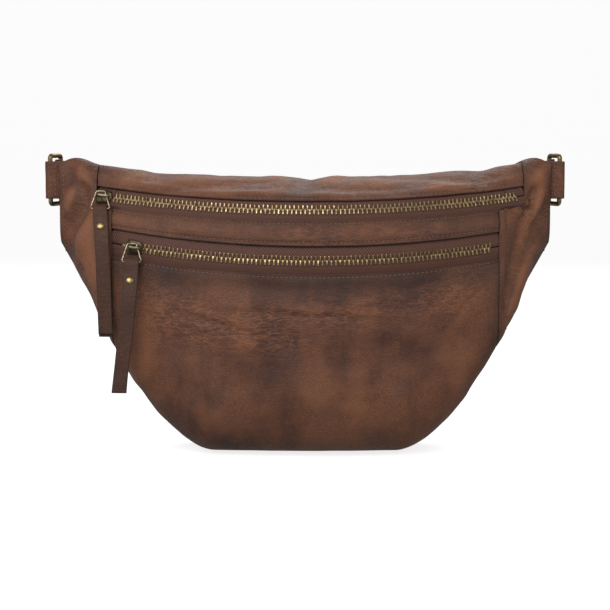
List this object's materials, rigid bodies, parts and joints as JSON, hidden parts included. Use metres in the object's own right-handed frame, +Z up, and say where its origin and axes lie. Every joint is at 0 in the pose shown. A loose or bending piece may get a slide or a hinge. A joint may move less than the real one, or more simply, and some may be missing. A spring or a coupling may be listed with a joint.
{
  "type": "waist pack",
  "caption": "Leather waist pack with a zipped main compartment under a top flap, a zipped front pocket, pull tabs, wing rings and a folded belt strap.",
  "frame": {"origin": "middle of the flat base that the bag stands on", "axes": "+X to the right as seen from the front, -Y to the front, +Z up"},
  "size_m": [0.3348, 0.0892, 0.19],
  "materials": {
    "bag_leather": "distressed brown leather, matt",
    "tab_leather": "brown leather, lightly waxed",
    "strap_leather": "brown leather, smooth",
    "zip_tape": "woven tape",
    "lining_cloth": "plain woven lining",
    "zip_brass": "antique brass",
    "slider_bronze": "dark antique bronze",
    "fitting_brass": "brushed brass"
  },
  "bodies": {
    "bag": {"front_panel": "bag_leather", "middle_band": "bag_leather", "left_wing_panel": "bag_leather", "right_wing_panel": "bag_leather", "top_panel_rear": "bag_leather", "back_panel": "bag_leather", "pocket_lining": "lining_cloth", "main_lining_front": "lining_cloth", "main_lining_back": "lining_cloth", "main_tape_lower": "zip_tape", "main_tape_left_end": "zip_tape", "main_tape_right_end": "zip_tape", "main_teeth_lower": "zip_brass", "main_stops": "zip_brass", "pocket_tape_upper": "zip_tape", "pocket_tape_lower": "zip_tape", "pocket_teeth_upper": "zip_brass", "pocket_teeth_lower": "zip_brass", "pocket_stops": "zip_brass", "left_ring_loop": "strap_leather", "right_ring_loop": "strap_leather"},
    "top_flap": {"top_panel_flap": "bag_leather", "main_tape_upper": "zip_tape", "main_teeth_upper": "zip_brass"},
    "main_zip_slider": {"main_slider": "slider_bronze"},
    "main_zip_ring": {"main_puller_ring": "slider_bronze"},
    "main_zip_tab": {"main_pull_tab": "tab_leather", "main_tab_rivet": "fitting_brass"},
    "pocket_zip_slider": {"pocket_slider": "slider_bronze"},
    "pocket_zip_ring": {"pocket_puller_ring": "slider_bronze"},
    "pocket_zip_tab": {"pocket_pull_tab": "tab_leather", "pocket_tab_rivet": "fitting_brass"},
    "left_ring": {"left_wing_ring": "fitting_brass"},
    "right_ring": {"right_wing_ring": "fitting_brass"},
    "short_strap": {"left_strap": "strap_leather", "left_strap_rivets": "fitting_brass", "buckle_strap_rivet": "fitting_brass"},
    "long_strap": {"right_strap": "strap_leather", "right_strap_rivets": "fitting_brass"},
    "buckle": {"buckle_frame": "fitting_brass"},
    "prong": {"buckle_prong": "fitting_brass"},
    "keeper": {"strap_keeper": "strap_leather"}
  },
  "joints": [
    {"name": "top_flap_hinge", "type": "hinge", "parent": "bag", "child": "top_flap", "pos_m": [0, -0.007, 0.176], "axis": [-1, 0, 0], "range_deg": [0, 50]},
    {"name": "main_slider_travel", "type": "hinge", "parent": "bag", "child": "main_zip_slider", "pos_m": [0.0035, 0.22396, 0.21332], "axis": [0, -0.2096, 0.9778], "range_deg": [0, 56.74]},
    {"name": "main_ring_swing", "type": "hinge", "parent": "main_zip_slider", "child": "main_zip_ring", "pos_m": [-0.12835, -0.0147, 0.16473], "axis": [-0.8794, 0.4655, 0.0998], "range_deg": [0, 45]},
    {"name": "main_tab_swing", "type": "hinge", "parent": "main_zip_ring", "child": "main_zip_tab", "pos_m": [-0.12835, -0.01834, 0.15606], "axis": [-0.9999, -0.0097, 0.0041], "range_deg": [0, 80]},
    {"name": "pocket_slider_travel", "type": "hinge", "parent": "bag", "child": "pocket_zip_slider", "pos_m": [0.006, 0.24249, 0.2303], "axis": [0, -0.342, 0.9397], "range_deg": [0, 41.59]},
    {"name": "pocket_ring_swing", "type": "hinge", "parent": "pocket_zip_slider", "child": "pocket_zip_ring", "pos_m": [-0.10737, -0.03152, 0.13278], "axis": [-0.9317, 0.3413, 0.1242], "range_deg": [0, 45]},
    {"name": "pocket_tab_swing", "type": "hinge", "parent": "pocket_zip_ring", "child": "pocket_zip_tab", "pos_m": [-0.10737, -0.03422, 0.12378], "axis": [-0.9942, -0.1029, 0.0309], "range_deg": [0, 80]},
    {"name": "left_ring_swing", "type": "hinge", "parent": "bag", "child": "left_ring", "pos_m": [-0.164, 0.01443, 0.173], "axis": [0, 0, 1], "range_deg": [0, 90]},
    {"name": "left_strap_swing", "type": "hinge", "parent": "left_ring", "child": "short_strap", "pos_m": [-0.159, 0.02643, 0.173], "axis": [0, 0, 1], "range_deg": [0, 60]},
    {"name": "right_ring_swing", "type": "hinge", "parent": "bag", "child": "right_ring", "pos_m": [0.164, 0.01443, 0.173], "axis": [0, 0, -1], "range_deg": [0, 90]},
    {"name": "right_strap_swing", "type": "hinge", "parent": "right_ring", "child": "long_strap", "pos_m": [0.159, 0.02643, 0.173], "axis": [0, 0, -1], "range_deg": [0, 60]},
    {"name": "buckle_swing", "type": "hinge", "parent": "short_strap", "child": "buckle", "pos_m": [-0.024, 0.0341, 0.13925], "axis": [0, 0, 1], "range_deg": [0, 40]},
    {"name": "prong_swing", "type": "hinge", "parent": "buckle", "child": "prong", "pos_m": [-0.024, 0.0341, 0.13925], "axis": [0, 0, 1], "range_deg": [0, 60]},
    {"name": "keeper_slide", "type": "slide", "parent": "short_strap", "child": "keeper", "axis": [0.9701, 0, -0.2425], "range_m": [-0.012, 0.03]}
  ]
}
